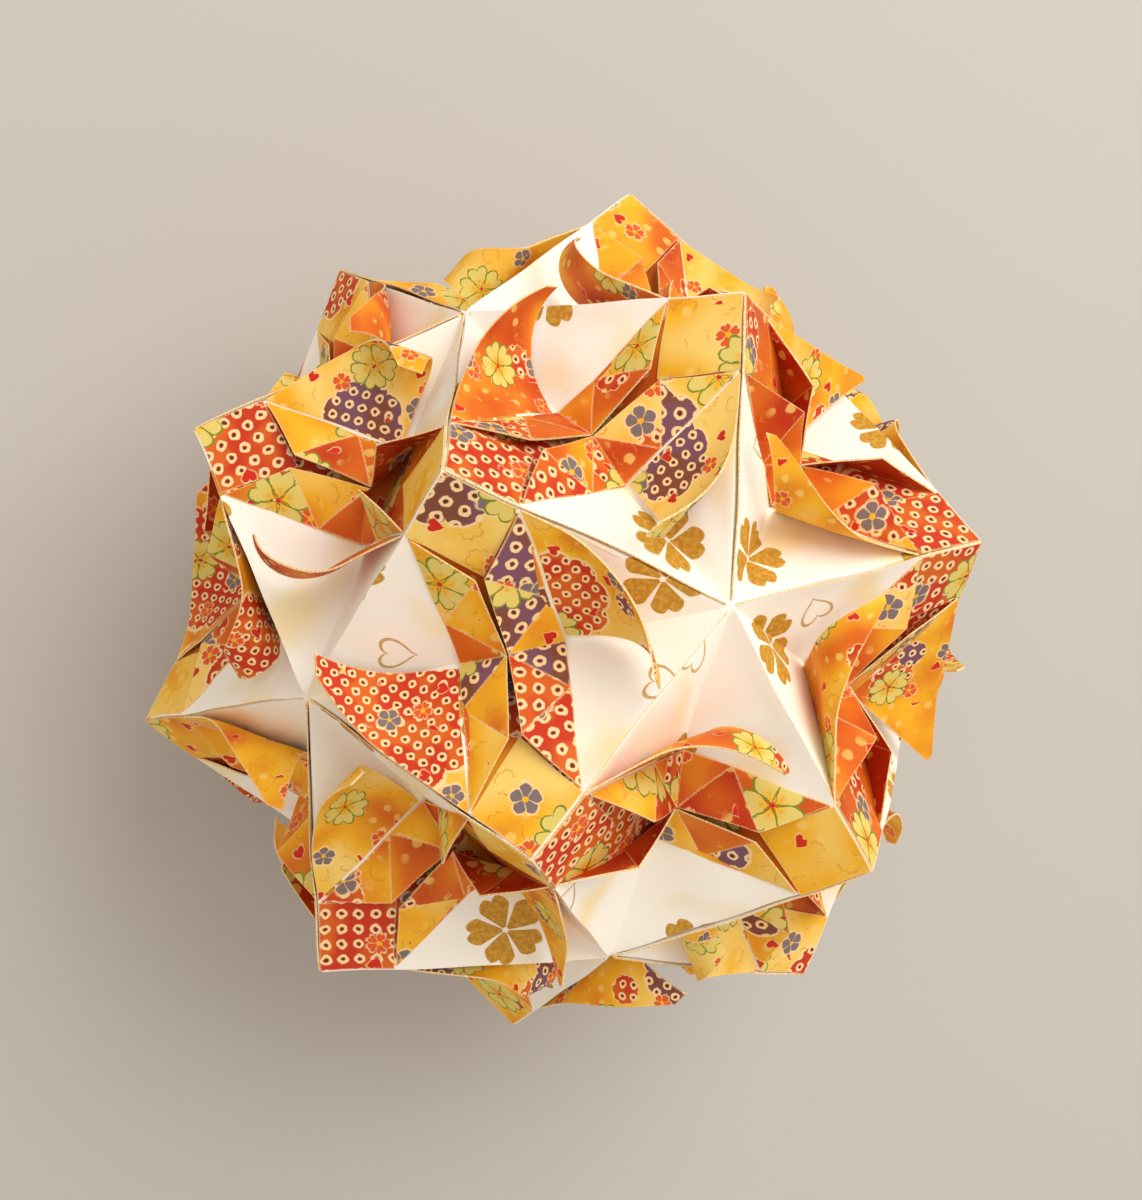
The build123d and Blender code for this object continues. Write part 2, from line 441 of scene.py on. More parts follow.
def buildStrip(piece, halves, seeds, settings):
    parts = [stripPoints(setting) for setting in settings]
    divisions = strip["divisions"]
    for turned in (False, True):  # the kite, one soft four-sided flat
        half, corners, seed = halves[turned], parts[turned], seeds[turned]
        top, left, right, point = (corners[k] for k in ("top", "leftShoulder", "rightShoulder", "kitePoint"))
        look = settings[turned]["looks"]["kite"]
        middle = (top + point) / 2
        width = np.linalg.norm(left - top)
        cells = []
        steps = divisions + 1
        for i in range(steps + 1):
            for j in range(steps + 1):
                a, b = i / steps, j / steps
                local = (1 - a) * (1 - b) * top + a * (1 - b) * left + (1 - a) * b * right + a * b * point
                local = local + np.array([0, 0, faceRise(local[0], local[1], seed) * (1 - a * b)])
                cells.append((half.place(local)[0], onPrint(look, middle[0] - local[0], local[1] - middle[1]),
                              (min(a, 1 - a) * width, min(b, 1 - b) * width, noCrease)))
        piece.addSurface(*gridPatch(cells, steps + 1), strip["layer"], 0, 0, look["tone"], strip["shadedUnderside"])
    for side in (1, -1):  # the doors and the bow run through both halves
        for turned in (False, True):
            name = ("right" if side > 0 else "left") if not turned else ("left" if side > 0 else "right")
            half, corners = halves[turned], parts[turned]
            looks = settings[turned]["looks"]
            hip, lip, doorTop, knot, bowEnd = (half.place(corners[name + k])[0]
                                               for k in ("Hip", "Lip", "DoorTop", "Knot", "BowEnd"))
            for key, facet in (("Door", (hip, doorTop, lip)), ("Fold", (hip, lip, knot)),
                               ("Bow", (hip, knot, bowEnd))):
                ordered = facet if name == "left" else (facet[0], facet[2], facet[1])
                look = looks[name + key]
                lay = flatUvs(ordered, look)
                patch = trianglePatch(ordered, lay, divisions, strip["bulge"][key])
                piece.addSurface(*patch, strip["layer"], 0, 0, look["tone"], strip["shadedUnderside"])
    width = strip["halfWidth"] - strip["underInset"]  # the flat layer under the doors, down to the valley
    across = strip["underAcross"]
    for turned in (False, True):
        half, seed, look = halves[turned], seeds[turned], settings[turned]["looks"]["kite"]
        high = foldReach - strip["halfWidth"] - strip["underShort"]
        rise = strip["underRise"]
        cells = []
        for i in range(divisions + 1):
            for j in range(across, -1, -1):
                u = rise * math.tan(slope) + (high - rise) * i / divisions
                v = -width + 2 * width * j / across
                up = rise + faceRise(u, v, seed) * min(1, 3 * i / divisions)  # flat at the valley itself
                cells.append((half.place((u, v, up))[0], onPrint(look, foldReach - strip["halfWidth"] - u, v),
                              (width - abs(v), noCrease, noCrease)))
        # printed warmer than the kite, as painted shade in the gap between the doors
        tone = (strip["underWarmth"], *look["tone"][1:])
        piece.addSurface(*gridPatch(cells, across + 1), strip["underPaper"], 0, 0, tone)


# The two curled petals of each sheet
petal = {
    "rootGap": 0.3,
    "end": 2.0,           # from the tip of a flat petal to the valley's end
    "paper": 0.24,
    "foot": 0.8,
    "along": 30,
    "across": 8,
    "cup": 0.35,          # how far the petal's middle hollows
    "cupRun": 1.4,        # brings the deepest part of the hollow in from the petal's middle
    "cupWidth": 8,        # below this width the hollow gets shallower
    "bellyPower": 0.8,    # how full the swell of the outline is
    "bellyBelow": 0.4,    # shares of the swell: on the valley's side, and in all
    "bellyWidth": 0.8,
    "settle": (2, 12),    # from the root: where the petal starts and ends leaving the face
    "printMiddle": (0.4, 0.3),      # shares of the length and the root where the print's motif lies
    "underWarmth": 0.06,  # how much warmer its lower side is
}

# Lift of the root in degrees, radius of the bend as a share of the petal's length, turn in degrees, width of
# the blunt tip, how far the tip swings to the valley, and how far the outline swells past the straight taper
curls = {
    "pressed": (0.5, 2.3, 3, 0.9, 0, 0.4),
    "flat": (14, 1.7, 24, 0.9, 0, 0.3),
    "bent": (12, 0.9, 46, 3.0, 1.4, 0.6),
    "open": (12, 0.57, 85, 2.2, 1.8, 0.5),
    "hooked": (38, 0.32, 118, 1.2, 3.0, -1.0),
    "rolled": (12, 0.176, 170, 3.2, 1.0, 0.5),
}


def buildPetal(piece, half, curl, look, drift, seed):
    lift, bendShare, turn, tip, swing, swell = curls[curl]
    root = strip["halfWidth"] + petal["rootGap"]
    length = diagonal / 2 - root - petal["end"]
    radius = bendShare * length
    straight = length - radius * math.radians(turn)
    rootWidth = foldReach - root - petal["foot"]
    liftTurn = math.radians(lift)
    middle = petal["printMiddle"]
    cells = []
    for i in range(petal["along"], -1, -1):
        share = i / petal["along"]
        reach = length * share
        rise = math.radians(lift + turn * max(0, (reach - straight) / (length - straight)))
        run = min(reach, straight)
        away = run * math.cos(liftTurn) + radius * (math.sin(rise) - math.sin(liftTurn))
        climb = run * math.sin(liftTurn) + radius * (math.cos(liftTurn) - math.cos(rise))
        width = rootWidth + (tip - rootWidth) * share
        belly = swell * math.sin(math.pi * share) ** petal["bellyPower"]
        low = petal["foot"] - swing * share**3 + drift * share**2 - petal["bellyBelow"] * belly
        for j in range(petal["across"] + 1):
            part = j / petal["across"]
            x = low + (width + petal["bellyWidth"] * belly) * part
            cup = petal["cup"] * math.sin(math.pi * part)
            cup = cup * math.sin(math.pi * min(1, petal["cupRun"] * share))
            cup = cup * min(1, width / petal["cupWidth"])
            offset = petal["paper"] / 2 - cup
            up = climb + faceRise(x, -root - away, seed) * (1 - fade(reach, *petal["settle"]))
            local = (x, -root - away + offset * math.sin(rise), up + offset * math.cos(rise))
            onSheet = onPrint(look, reach - middle[0] * length, x - petal["foot"] - middle[1] * rootWidth)
            cells.append((half.place(local)[0], onSheet,
                          (min(part, 1 - part) * width, length - reach, noCrease)))
    under = (look["tone"][0] + petal["underWarmth"], *look["tone"][1:])
    piece.addSurface(*gridPatch(cells, petal["across"] + 1), petal["paper"], 0, 0, look["tone"], under)


# Colours of the print and the paper, as they are seen
palette = {
    "cream": (248, 210, 112),
    "yellow": (246, 182, 36),
    "orange": (222, 110, 26),
    "deepOrange": (188, 52, 14),
    "redField": (202, 56, 26),
    "redFieldWarm": (216, 100, 30),
    "purpleField": (126, 82, 100),
    "purpleFieldWarm": (130, 74, 56),
    "ringCream": (252, 216, 160),
    "eye": (110, 46, 32),
    "leafLine": (126, 140, 44),
    "leafFill": (228, 206, 112),
    "smallFill": (226, 92, 36),
    "plumFill": (130, 112, 110),
    "heart": (208, 44, 24),
    "faintLine": (206, 136, 42),
    "white": (254, 248, 236),
    "gold": (192, 138, 40),
    "goldPale": (212, 164, 66),
    "blush": (251, 226, 158),
    "edge": (250, 230, 182),
    "edgeDeep": (240, 176, 96),
    "floor": (191, 187, 180),
}


def paint(name):
    # The palette is as seen; sockets take linear values
    parts = [value / 255 for value in palette[name]]
    return tuple(p / 12.92 if p <= 0.04045 else ((p + 0.055) / 1.055) ** 2.4 for p in parts) + (1.0,)


class Graph:
    # Short words for wiring a material
    def __init__(self, tree):
        self.tree = tree

    def add(self, kind, **settings):
        node = self.tree.nodes.new("ShaderNode" + kind)
        for key, value in settings.items():
            setattr(node, key, value)
        return node

    def feed(self, socket, value):
        if isinstance(value, bpy.types.NodeSocket):
            self.tree.links.new(value, socket)
        else:
            socket.default_value = value

    def math(self, operation, *values):
        node = self.add("Math", operation=operation)
        for socket, value in zip(node.inputs, values):
            self.feed(socket, value)
        return node.outputs[0]

    def split(self, vector):
        node = self.add("SeparateXYZ")
        self.feed(node.inputs[0], vector)
        return node.outputs

    def mix(self, share, one, two):
        node = self.add("Mix", data_type="RGBA")
        colours = [socket for socket in node.inputs if socket.type == "RGBA"]
        self.feed(node.inputs[0], share)
        self.feed(colours[0], one)
        self.feed(colours[1], two)
        return [socket for socket in node.outputs if socket.type == "RGBA"][0]

    def step(self, value, low, high, below=0.0, above=1.0):
        # The one below low, the other above high, soft between
        node = self.add("MapRange", interpolation_type="SMOOTHSTEP")
        for name, given in (("Value", value), ("From Min", low), ("From Max", high), ("To Min", below),
                            ("To Max", above)):
            self.feed(node.inputs[name], given)
        return node.outputs["Result"]

    def inside(self, value, limit, soft):
        # 1 inside the limit, 0 outside, soft on its inner side
        return self.step(value, limit - soft, limit, 1.0, 0.0)

    def band(self, value, middle, half):
        # 1 on a line that reaches half to each side of the middle value
        return self.inside(self.math("ABSOLUTE", self.math("SUBTRACT", value, middle)), half, half * 0.4)

    def noise(self, place, scale, detail=2.0, output="Fac"):
        node = self.add("TexNoise", noise_dimensions="2D")
        self.feed(node.inputs["Vector"], place)
        self.feed(node.inputs["Scale"], scale)
        self.feed(node.inputs["Detail"], detail)
        return node.outputs[output]

    def repeat(self, place, motif):
        # Turns, shifts and repeats the paper's plane for one motif
        turned = self.add("Mapping", vector_type="POINT")
        self.feed(turned.inputs["Vector"], place)
        turned.inputs["Location"].default_value = (*motif["shift"], 0)
        turned.inputs["Rotation"].default_value = (0, 0, math.radians(motif["turn"]))
        width, height = motif["repeat"]
        wrap = self.add("VectorMath", operation="WRAP")
        high = (width / 2, height / 2, 1)
        for socket, value in zip(wrap.inputs, (turned.outputs[0], high, [-side for side in high])):
            self.feed(socket, value)
        return wrap.outputs[0]

    def lobed(self, place, key):
        # How far out a point lies against a motif's lobed outline, its place across a lobe, and its distance
        motif = motifs[key]
        node = self.add("Group", node_tree=lobedOutline)
        for socket, value in zip(node.inputs, (self.repeat(place, motif), motif["reach"], *motif["lobed"])):
            self.feed(socket, value)
        return tuple(node.outputs)

    def length(self, x, y):
        return self.math("SQRT", self.math("ADD", self.both(x, x), self.both(y, y)))

    def both(self, one, two):
        return self.math("MULTIPLY", one, two)

    def heart(self, x, y, reach):
        # How far out a point lies against a heart that points down
        x, y = self.math("DIVIDE", x, reach), self.math("DIVIDE", y, reach)
        x = self.math("ABSOLUTE", x)
        y = self.math("SUBTRACT", self.both(y, 1.2), self.math("SQRT", x))  # 1.2 makes it squat
        return self.length(x, y)

    def petals(self, place, motif):
        # As heart, against the nearest of five petals that point to the middle, and the distance
        x, y, _ = self.split(place)
        sector = self.both(self.math("ARCTAN2", y, x), 5 / (2 * math.pi))
        angle = self.both(self.math("SUBTRACT", self.math("FRACT", sector), 0.5), 2 * math.pi / 5)
        distance = self.length(x, y)
        wide = motif["petal"]
        across = self.both(distance, self.math("SINE", angle))
        along = self.both(distance, self.math("COSINE", angle))
        middle = motif["reach"] - motif["petalMiddle"] * wide
        return self.heart(across, self.math("SUBTRACT", along, middle), wide), distance


def lobedGroup():
    # The waist is how far in the outline comes between two lobes, and the notch is cut into each lobe's end
    tree = bpy.data.node_groups.new("lobedOutline", "ShaderNodeTree")
    for name, kind in (("Place", "Vector"), ("Reach", "Float"), ("Lobes", "Float"), ("Waist", "Float"),
                       ("Notch", "Float"), ("Turn", "Float")):
        tree.interface.new_socket(name, in_out="INPUT", socket_type="NodeSocket" + kind)
    for name in ("Out", "Side", "Distance"):
        tree.interface.new_socket(name, in_out="OUTPUT", socket_type="NodeSocketFloat")
    graph = Graph(tree)
    place, reach, lobes, waist, notch, turn = list(tree.nodes.new("NodeGroupInput").outputs)[:6]
    result = tree.nodes.new("NodeGroupOutput").inputs
    x, y, _ = graph.split(place)
    angle = graph.math("DIVIDE", graph.math("ARCTAN2", y, x), 2 * math.pi)
    part = graph.math("FRACT", graph.math("ADD", graph.both(angle, lobes), turn))
    side = graph.both(graph.math("ABSOLUTE", graph.math("SUBTRACT", part, 0.5)), 2.0)
    arch = graph.math("SQRT", graph.math("SUBTRACT", 1.0, graph.both(side, side)))
    outline = graph.math("ADD", waist, graph.both(graph.math("SUBTRACT", 1.0, waist), arch))
    notchNarrow, notchPower = 3.2, 1.5
    dip = graph.math("MAXIMUM", graph.math("SUBTRACT", 1.0, graph.both(side, notchNarrow)), 0.0)
    dip = graph.both(graph.math("POWER", dip, notchPower), notch)
    outline = graph.both(outline, graph.math("SUBTRACT", 1.0, dip))
    distance = graph.length(x, y)
    graph.feed(result[0], graph.math("DIVIDE", distance, graph.both(outline, reach)))
    graph.feed(result[1], side)
    graph.feed(result[2], distance)
    return tree


lobedOutline = lobedGroup()

# The printed side: yellows drifting to orange, scalloped fields of ringed dots, blossoms and hearts.
# Lengths are in millimetres on the paper. "lobed" holds the number of lobes, the waist, the notch and
# the turn in lobes. "patches" says where a scattered motif shows: the noise's scale and the step's two ends.
motifs = {
    "red": {"repeat": (27.0, 23.0), "turn": 12, "shift": (4, 7), "reach": 8.6,
            "lobed": (9.0, 0.84, 0.0, 0.25)},
    "purple": {"repeat": (31.0, 26.0), "turn": -38, "shift": (1, 12), "reach": 7.0,
               "lobed": (8.0, 0.84, 0.0, 0.25)},
    "redDots": {"repeat": (2.15, 2.15), "turn": 29, "shift": (0, 0), "reach": 0.8,
                "lobed": (4.0, 0.92, 0.0, 0.5)},
    "purpleDots": {"repeat": (2.3, 2.3), "turn": -8, "shift": (0, 0), "reach": 0.84,
                   "lobed": (4.0, 0.92, 0.0, 0.5)},
    "leaf": {"repeat": (24.5, 21.5), "turn": 24, "shift": (7, 2), "reach": 3.7,
             "petal": 1.7, "petalMiddle": 1.3},
    "small": {"repeat": (14.5, 16.5), "turn": -17, "shift": (5, 1), "reach": 1.6,
              "lobed": (5.0, 0.4, 0.2, 0.1)},
    "plum": {"repeat": (19.5, 16.0), "turn": 51, "shift": (1, 6), "reach": 1.9,
             "lobed": (5.0, 0.6, 0.0, 0.1)},
    "heart": {"repeat": (7.5, 9.5), "turn": 8, "shift": (2, 3), "reach": 0.95, "patches": (0.12, 0.5, 0.52)},
    "spot": {"repeat": (2.6, 3.3), "turn": 14, "shift": (1, 0), "reach": 0.8, "lobed": (5.0, 0.9, 0.0, 0.0),
             "patches": (0.17, 0.5, 0.6), "strength": 0.65},
    "faint": {"repeat": (4.3, 4.9), "turn": 33, "shift": (0, 1), "reach": 1.5,
              "lobed": (5.0, 0.55, 0.14, 0.2), "patches": (0.3, 0.48, 0.56), "strength": 0.55},
    "gold": {"repeat": (27.0, 25.0), "turn": 20, "shift": (3, 9), "reach": 5.3,
             "lobed": (5.0, 0.45, 0.16, 0.15)},
    "goldHeart": {"repeat": (29.0, 33.0), "turn": -24, "shift": (11, 2), "reach": 2.1},
}
ground = {
    "wobble": 0.5,                       # how far lines and outlines waver by hand
    "wobbleScale": 0.8,
    "driftScale": 0.09,                  # of the slow drift from yellow to orange
    "drift": 1.1,
    "ramp": ((0.3, "yellow"), (0.62, "orange")),
    "fieldDrift": (0.16, 0.42, 0.62),    # of a dotted field from its cool to its warm red or purple
    "blush": (0.075, 0.52, 0.8),         # of the plain side
    "goldMottle": (1.6, 0.35, 0.7),
}
wearAndHighlight = {
    "printRoughness": 0.58,
    "plainRoughness": 0.64,
    "shine": 0.2,
    # the pale line along each crease: worn ink, and a painted highlight where the rounded fold catches the
    # light
    "creaseWidth": 0.2,
    "creaseWearAndHighlight": 0.6,
    "grainScale": 5.0,
    "grain": 0.35,
    "grainDepth": 0.00005,               # in metres
}


def anchor(kind, column, row):
    # Where a motif lies on the print
    motif = motifs[kind]
    x = column * motif["repeat"][0] - motif["shift"][0]
    y = row * motif["repeat"][1] - motif["shift"][1]
    turn = math.radians(motif["turn"])
    return math.cos(turn) * x + math.sin(turn) * y, math.cos(turn) * y - math.sin(turn) * x


def patches(graph, place, spread, detail=1.0):
    scale, low, high = spread
    return graph.step(graph.noise(place, scale, detail), low, high)


def dottedField(graph, place, drawn, colour, share, key):
    # A scalloped cloud of ringed dots
    out, _, _ = graph.lobed(drawn, key)
    ring, _, _ = graph.lobed(drawn, key + "Dots")
    inner = graph.mix(patches(graph, place, ground["fieldDrift"]), paint(key + "Field"),
                      paint(key + "FieldWarm"))
    inner = graph.mix(graph.inside(ring, 0.4, 0.15), inner, paint("eye"))
    dots = graph.both(graph.inside(ring, 1.0, 0.18), graph.step(ring, 0.34, 0.48))
    inner = graph.mix(dots, inner, paint("ringCream"))
    out = graph.math("DIVIDE", out, graph.math("MAXIMUM", share, 0.02))
    colour = graph.mix(graph.both(graph.inside(out, 1.06, 0.03), 0.85), colour, paint("ringCream"))
    return graph.mix(graph.inside(out, 1.0, 0.02), colour, inner)


def printedColour(graph, place, tones):
    warmth, redShare, purpleShare = tones
    centred = graph.add("VectorMath", operation="MULTIPLY_ADD")
    wobble = graph.noise(place, ground["wobbleScale"], output="Color")
    for socket, value in zip(centred.inputs, (wobble, (ground["wobble"], ground["wobble"], 0), place)):
        graph.feed(socket, value)
    drawn = centred.outputs[0]  # lines and outlines waver by a hair
    drift = graph.math("SUBTRACT", graph.noise(place, ground["driftScale"], 1.0), 0.5)
    ramp = graph.add("ValToRGB")
    ramp.color_ramp.elements[0].color = paint("cream")
    ramp.color_ramp.elements[1].color = paint("deepOrange")
    for position, name in ground["ramp"]:
        ramp.color_ramp.elements.new(position).color = paint(name)
    graph.feed(ramp.inputs[0], graph.math("ADD", warmth, graph.both(drift, ground["drift"])))
    colour = ramp.outputs[0]

    for key, name in (("faint", "faintLine"), ("spot", "cream")):
        out, _, _ = graph.lobed(drawn, key)
        shown = graph.both(patches(graph, place, motifs[key]["patches"]), motifs[key]["strength"])
        drawing = graph.band(out, 1.0, 0.1) if key == "faint" else graph.inside(out, 1.0, 0.35)
        colour = graph.mix(graph.both(drawing, shown), colour, paint(name))

    colour = dottedField(graph, place, drawn, colour, redShare, "red")
    colour = dottedField(graph, place, drawn, colour, purpleShare, "purple")

    x, y, _ = graph.split(graph.repeat(drawn, motifs["heart"]))
    heart = graph.heart(x, y, motifs["heart"]["reach"])
    shown = patches(graph, place, motifs["heart"]["patches"], 0.0)
    halo = graph.both(graph.inside(heart, 1.3, 0.25), 0.5)
    colour = graph.mix(graph.both(shown, halo), colour, paint("ringCream"))
    colour = graph.mix(graph.both(shown, graph.inside(heart, 1.0, 0.1)), colour, paint("heart"))

    for key in ("small", "plum"):
        out, side, distance = graph.lobed(drawn, key)
        colour = graph.mix(graph.both(graph.inside(out, 1.25, 0.2), 0.75), colour, paint("ringCream"))
        gaps = graph.both(graph.step(side, 0.8, 0.95), 0.7)
        inner = graph.mix(gaps, paint(key + "Fill"), paint("ringCream"))
        inner = graph.mix(graph.inside(distance, 0.45, 0.15), inner, paint("yellow"))
        colour = graph.mix(graph.inside(out, 1.0, 0.06), colour, inner)

    # large pale blossoms with a green outline and a red eye
    petal, distance = graph.petals(graph.repeat(drawn, motifs["leaf"]), motifs["leaf"])
    inner = graph.mix(graph.step(distance, 0.5, 2.6), paint("yellow"), paint("leafFill"))
    colour = graph.mix(graph.inside(petal, 1.0, 0.05), colour, inner)
    rib = graph.both(graph.inside(petal, 0.5, 0.1), graph.inside(distance, 1.8, 0.3))
    line = graph.math("MAXIMUM", graph.band(petal, 1.0, 0.085), graph.both(rib, 0.25))
    colour = graph.mix(line, colour, paint("leafLine"))
    return graph.mix(graph.inside(distance, 0.34, 0.1), colour, paint("heart"))


def madePaper(name, roughness, colourOf):
    material = bpy.data.materials.new(name)
    material.use_nodes = True
    graph = Graph(material.node_tree)
    shader = material.node_tree.nodes["Principled BSDF"]
    shader.inputs["Roughness"].default_value = roughness
    shader.inputs["Specular IOR Level"].default_value = wearAndHighlight["shine"]
    place = graph.add("UVMap", uv_map="sheet").outputs["UV"]
    grain = graph.noise(place, wearAndHighlight["grainScale"], 4.0)  # a fibrous surface, felt more than seen
    bump = graph.add("Bump")
    bump.inputs["Strength"].default_value = wearAndHighlight["grain"]
    bump.inputs["Distance"].default_value = wearAndHighlight["grainDepth"]
    graph.feed(bump.inputs["Height"], grain)
    graph.feed(shader.inputs["Normal"], bump.outputs["Normal"])
    graph.feed(shader.inputs["Base Color"], colourOf(graph, place, grain))
    return material


def printedSide(graph, place, grain):
    tones = graph.split(graph.add("Attribute", attribute_name="tones").outputs["Vector"])
    colour = printedColour(graph, place, tones)
    creases = graph.split(graph.add("Attribute", attribute_name="creases").outputs["Vector"])
    nearest = graph.math("MINIMUM", graph.math("MINIMUM", creases[0], creases[1]), creases[2])
    # A pale cream line along the folds: partly worn ink, partly a painted highlight on the rounded crease
    wornAndHighlit = graph.both(graph.inside(nearest, wearAndHighlight["creaseWidth"], wearAndHighlight["creaseWidth"] * 0.7),
                      graph.step(grain, 0.3, 0.62))
    return graph.mix(graph.both(wornAndHighlit, wearAndHighlight["creaseWearAndHighlight"]), colour, paint("ringCream"))


def plainSide(graph, place, _):
    # Warm white with sparse gold blossoms of five petals, and outlined hearts
    blush = graph.both(patches(graph, place, ground["blush"], 1.5), 0.7)
    colour = graph.mix(blush, paint("white"), paint("blush"))
    gold = graph.mix(patches(graph, place, ground["goldMottle"], 3.0), paint("gold"), paint("goldPale"))
    out, side, distance = graph.lobed(place, "gold")
    petal = graph.both(graph.inside(out, 1.0, 0.04), graph.inside(side, 0.87, 0.05))
    colour = graph.mix(graph.both(petal, graph.step(distance, 0.3, 0.5)), colour, gold)
    x, y, _ = graph.split(graph.repeat(place, motifs["goldHeart"]))
    heart = graph.heart(x, y, motifs["goldHeart"]["reach"])
    return graph.mix(graph.both(graph.band(heart, 1.0, 0.12), 0.85), colour, gold)


def cutEdge(graph, _, grain):
    return graph.mix(graph.step(grain, 0.35, 0.7), paint("edge"), paint("edgeDeep"))


paperMaterials = [madePaper("printedPaper", wearAndHighlight["printRoughness"], printedSide),
                  madePaper("whitePaper", wearAndHighlight["plainRoughness"], plainSide),
                  madePaper("cutEdge", wearAndHighlight["plainRoughness"], cutEdge)]
print("papers printed")


# What each facet shows: the motif under its middle, the warmth of the ground, and how far
# the red and the purple fields reach
kinds = {
    "plain": ("faint", 0.25, 0.0, 0.0),
    "leaf": ("leaf", 0.3, 0.3, 0.0),
    "leafWarm": ("leaf", 0.62, 0.3, 0.0),
    "red": ("red", 0.4, 1.5, 0.0),
    "redEdge": ("red", 0.2, 1.0, 0.3),
    "purple": ("purple", 0.3, 0.0, 1.5),
    "purpleEdge": ("purple", 0.15, 0.3, 1.0),
    "heart": ("heart", 0.4, 0.4, 0.0),
    "small": ("small", 0.35, 0.5, 0.4),
    "plum": ("plum", 0.15, 0.6, 0.6),
    "orange": ("faint", 0.62, 0.3, 0.0),
    # the deep orange tone, given mostly to folds and bows: partly the print's own orange, partly painted
    # shade of the inner folds
    "deep": ("faint", 0.9, 0.3, 0.0),
}
common = ["plain", "plain", "leaf", "leaf", "red", "red", "redEdge", "purpleEdge", "heart", "small", "plum",
          "orange"]
innerKinds = ["orange", "orange", "deep", None]  # of the folds and bows that no choice is made for; the deep tone among them is partly painted shade
stripKeys = ["kite"] + [side + part for side in ("left", "right") for part in ("Door", "Fold", "Bow")]

# How far one sheet strays from the next
hand = {
    "firstSeed": 11,
    "kiteSide": 0.3,
    "doorTurn": (-3, 5),
    "doorSlack": (0, 0.7),
    "petalDrift": 0.8,
    "warmth": 0.08,
    "petalPrint": 1.3,      # the print is that much smaller on a petal
    "goldSpot": (5, 30),
    "sharpFrom": 24,        # folds of more than this many degrees look sharp
}


def makeLook(chance, wanted=None, scale=1.0):
    kind = chance.choice(common)
    column, row = chance.randrange(-2, 4), chance.randrange(-2, 4)
    turn, offset = chance.uniform(0, 360), chance.uniform(-hand["warmth"], hand["warmth"])
    kind = wanted or kind
    motif, warmth, red, purple = kinds[kind]
    x, y = anchor(motif, column, row)
    if kind.endswith("Edge"):  # the field's border runs across the middle
        away = motifs[motif]["reach"]
        x, y = x + away * math.cos(math.radians(turn)), y + away * math.sin(math.radians(turn))
    return {"place": (x, y), "turn": turn, "scale": scale, "tone": (warmth + offset, red, purple)}


# Corners of the ball, and each sheet: the two corners its valley joins, and for each half the curl
# of its petal and the state of its doors
ringHeight = valleyRadius / math.sqrt(5)
topCorner = np.array([0.0, 0.0, valleyRadius])
upper = ring(ringHeight, 2 * ringHeight, 36)
lower = ring(-ringHeight, 2 * ringHeight, 0)
crownWings = [
    (("flat", "raised"), ("hooked", "raised")),
    (("open", "low"), ("open", "low")),
    (("bent", "low"), ("open", "low")),
    ((None, "low"), ("hooked", "raised")),  # one petal is tucked away between the layers
    (("flat", "low"), ("hooked", "raised")),
]
shoulderWings = [
    (("hooked", "raised"), ("rolled", "low")),
    (("hooked", "raised"), ("rolled", "low")),
    (("flat", "raised"), ("open", "low")),
    (("open", "low"), ("rolled", "raised")),
    (("rolled", "low"), ("open", "raised")),
]
sheets = {}
for turn in range(5):
    after = (turn + 1) % 5
    sheets[f"crown_sheet_{turn + 1}"] = (topCorner, upper[turn], crownWings[turn])
    sheets[f"shoulder_sheet_{turn + 1}"] = (upper[turn], upper[after], shoulderWings[turn])
    wings = (("open", "low"), ("rolled", "raised"))
    sheets[f"girdle_sheet_{2 * turn + 1}"] = (upper[turn], lower[turn], wings)
    sheets[f"girdle_sheet_{2 * turn + 2}"] = (upper[turn], lower[after], wings[::-1])
    sheets[f"waist_sheet_{turn + 1}"] = (lower[turn], lower[after], (("open", "raised"), ("open", "low")))
    sheets[f"foot_sheet_{turn + 1}"] = (-topCorner, lower[turn], (("pressed", "low"), ("pressed", "low")))

# Looks chosen for the sheets in front: for each half the petal and then the kite, the petal side's door,
# fold and bow, and the pocket side's. The last entry is the spot on the square with a gold motif.
# The deep looks on folds and bows stand partly as painted shade.
chosen = {
    "crown_sheet_1": ("leaf orange orange deep deep deep orange deep",
                      "plain red plum orange orange purple orange deep", ("gold", 31, 6)),
    "crown_sheet_2": ("leafWarm red red orange deep red orange deep",
                      "purpleEdge plain purpleEdge plum orange leaf orange orange", ("gold", 29, 7)),
    "crown_sheet_3": ("red plum plain plain purple red red purple",
                      "redEdge purpleEdge purple purple plain leaf heart orange", ("goldHeart", 12, 30)),
    "crown_sheet_4": ("orange plain purpleEdge orange plain leafWarm deep deep",
                      "heart red heart deep deep red orange deep", ("gold", 22.5, 17)),
    "crown_sheet_5": ("small red purpleEdge orange orange plum orange deep",
                      "leaf orange orange deep red orange deep deep", ("gold", 32, 8)),
    "shoulder_sheet_1": ("orange orange orange orange deep orange deep deep",
                         "plain small orange orange deep plain orange orange", ("gold", 10, 20)),
    "shoulder_sheet_2": ("orange plain leaf orange deep heart orange deep",
                         "purpleEdge red heart orange orange leaf plain orange", ("gold", 19.5, 17.5)),
    "shoulder_sheet_3": ("leaf plain orange deep deep plain deep deep",
                         "leaf red heart orange orange plain orange orange", ("gold", 13.6, 32.5)),
}

